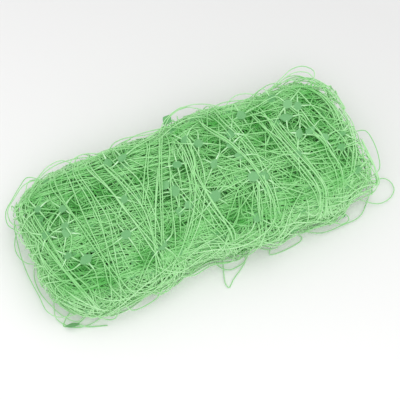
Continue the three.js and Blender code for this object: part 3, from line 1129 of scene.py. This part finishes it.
def green(name, ramp_colours, painted_shade_colour, roughness, noise_scale, bump):
    """Extruded plastic. Its colour goes by the strand's tone, with white beside junctions, partly
    from stretching and partly a painted glint, painted shade of a deeper green inside the bundle,
    and painted light of a paler green at the bundle's rim."""
    nodes = Nodes(name)
    noise = nodes.noise(Scale=noise_scale, Detail=3.0)
    own = nodes.calculate("MULTIPLY_ADD", noise, 0.5, 0.25)
    tone = nodes.calculate("MULTIPLY_ADD", nodes.attribute("tone"), 0.14, own)
    colour = nodes.ramp(tone, *ramp_colours)
    # White beside junctions: partly from stretching, partly a painted glint
    colour = nodes.mix(nodes.attribute("white"), colour, (0.62, 0.95, 0.60))
    # Painted shade: a deeper green the further inside the bundle a place lies, in noise patches
    shade_patches = nodes.ranged(nodes.noise(Scale=19.0, Detail=1.5), SHADE_PATCHES)
    depth = nodes.calculate("MULTIPLY", nodes.attribute("depth"), shade_patches, clamp=True)
    colour = nodes.mix(depth, colour, painted_shade_colour)
    # Painted light: a paler green at the bundle's rim, where light comes through the thin net
    rim = nodes.calculate("MULTIPLY", nodes.attribute("rim"), 0.7)
    grain = {"Strength": bump, "Distance": 0.0002, "Height": nodes.noise(Scale=1400.0)}
    return nodes.finish({
        "Base Color": nodes.mix(rim, colour, (0.55, 0.89, 0.50)),
        "Roughness": nodes.ranged(noise, {"To Min": roughness[0], "To Max": roughness[1]}),
        "Normal": nodes.node("Bump", "Normal", grain),
        **SHEEN,
    })


# The deeper green below is painted shade for strands inside the bundle
strand_plastic = green(
    "strand_plastic",
    ramp_colours=((0.22, 0.62, 0.20), (0.31, 0.725, 0.275), (0.45, 0.835, 0.41)),
    painted_shade_colour=(0.09, 0.485, 0.078), roughness=(0.3, 0.5), noise_scale=55.0, bump=0.1,
)
# The deeper green below is painted shade for plates inside the bundle
plate_plastic = green(
    "plate_plastic",
    ramp_colours=((0.10, 0.355, 0.115), (0.14, 0.415, 0.15), (0.185, 0.48, 0.19)),
    painted_shade_colour=(0.09, 0.40, 0.10), roughness=(0.4, 0.6), noise_scale=140.0, bump=0.2,
)


# The pieces

for part in range(3):
    strand_mesh(f"long_strands_{part + 1}", long_strands[part::3], strand_plastic)
    strand_mesh(f"cross_strands_{part + 1}", cross_strands[part::3], strand_plastic)
strand_mesh("top_strands", top_strands, strand_plastic)
strand_mesh("stray_strands_1", stray_strands[::2] + end_strands, strand_plastic)
strand_mesh("stray_strands_2", stray_strands[1::2] + wall_strands, strand_plastic)
strand_mesh("loose_loops", loop_pieces, strand_plastic)
plate_mesh("junction_plates", plates, plate_plastic)
plate_mesh("top_junction_plates", top_plates, plate_plastic)


# The floor, the light and the camera

FLOOR_HALF = 2.5
# Painted shade on the floor: its colour falls from 1.0 to 0.79 towards the far right corner
FLOOR_PAINTED_SHADE = {"From Min": -0.2, "From Max": 0.27, "To Min": 1.0, "To Max": 0.79}
WORLD_STRENGTH = 0.825
LIGHTS = (
    # name, place, aim, size, power, colour
    ("key", (0.55, 0.2, 1.65), (0, 0, 0), 1.2, 5.9, (1.0, 0.995, 0.98)),
    ("fill", (-0.2, -0.8, 1.45), (0, -0.1, 0), 1.3, 5.6, (1.0, 1.0, 1.0)),
)
CAMERA = {"azimuth": -23.0, "elevation": 71.0, "distance": 1.0, "aim": (-0.00068, -0.00135, 0.02555)}
CAMERA_WIDTH = 0.38  # metres that the picture's width takes in at the aim


def floor_material():
    nodes = Nodes("floor_with_painted_shade")
    tint = nodes.ranged(nodes.noise(Scale=3.0), {"To Min": 0.93, "To Max": 0.96})
    # Painted shade: darker towards the far right corner, standing in for light that falls off there; the
    # noise tint is the floor's own
    place = nodes.node("TexCoord", "Object", {})
    along = {0: place, 1: (0.75, 0.66, 0.0)}
    along = nodes.node("VectorMath", "Value", along, operation="DOT_PRODUCT")
    tint_and_painted_shade = nodes.calculate("MULTIPLY", tint, nodes.ranged(along, FLOOR_PAINTED_SHADE))
    return nodes.finish({"Base Color": tint_and_painted_shade, "Roughness": 0.8})


def add_floor():
    mesh = bpy.data.meshes.new("floor")
    corners = ((-1, -1), (1, -1), (1, 1), (-1, 1))
    places = [(x * FLOOR_HALF, y * FLOOR_HALF, 0) for x, y in corners]
    mesh.from_pydata(places, [], [(0, 1, 2, 3)])
    mesh.materials.append(floor_material())
    floor = bpy.data.objects.new("floor", mesh)
    bpy.context.collection.objects.link(floor)
    return floor


def add_world():
    world = bpy.data.worlds.new("studio")
    world.use_nodes = True
    background = world.node_tree.nodes["Background"]
    background.inputs["Color"].default_value = (1.0, 1.0, 1.0, 1)
    background.inputs["Strength"].default_value = WORLD_STRENGTH
    bpy.context.scene.world = world


def area_light(name, place, aim, size, power, colour):
    light = bpy.data.lights.new(name, "AREA")
    light.shape = "SQUARE"
    light.size = size
    light.energy = power
    light.color = colour
    lamp = bpy.data.objects.new(name, light)
    lamp.location = place
    way = Vector(aim) - Vector(place)
    lamp.rotation_euler = way.to_track_quat("-Z", "Y").to_euler()
    bpy.context.collection.objects.link(lamp)


def add_camera():
    azimuth = math.radians(CAMERA["azimuth"])
    elevation = math.radians(CAMERA["elevation"])
    right = Vector((math.cos(azimuth), math.sin(azimuth), 0))
    back = Vector((
        math.sin(azimuth) * math.cos(elevation),
        -math.cos(azimuth) * math.cos(elevation),
        math.sin(elevation),
    ))
    up = back.cross(right)
    place = Vector(CAMERA["aim"]) + back * CAMERA["distance"]
    data = bpy.data.cameras.new("camera")
    data.angle = 2 * math.atan(CAMERA_WIDTH / 2 / CAMERA["distance"])
    camera = bpy.data.objects.new("camera", data)
    turn = Matrix((right, up, back)).transposed().to_4x4()
    camera.matrix_world = Matrix.Translation(place) @ turn
    bpy.context.collection.objects.link(camera)
    bpy.context.scene.camera = camera


floor = add_floor()
add_world()
for row in LIGHTS:
    area_light(*row)
add_camera()
bpy.context.scene.view_settings.view_transform = "Standard"
bpy.context.scene.cycles.diffuse_bounces = 12
bpy.context.scene.cycles.max_bounces = 16
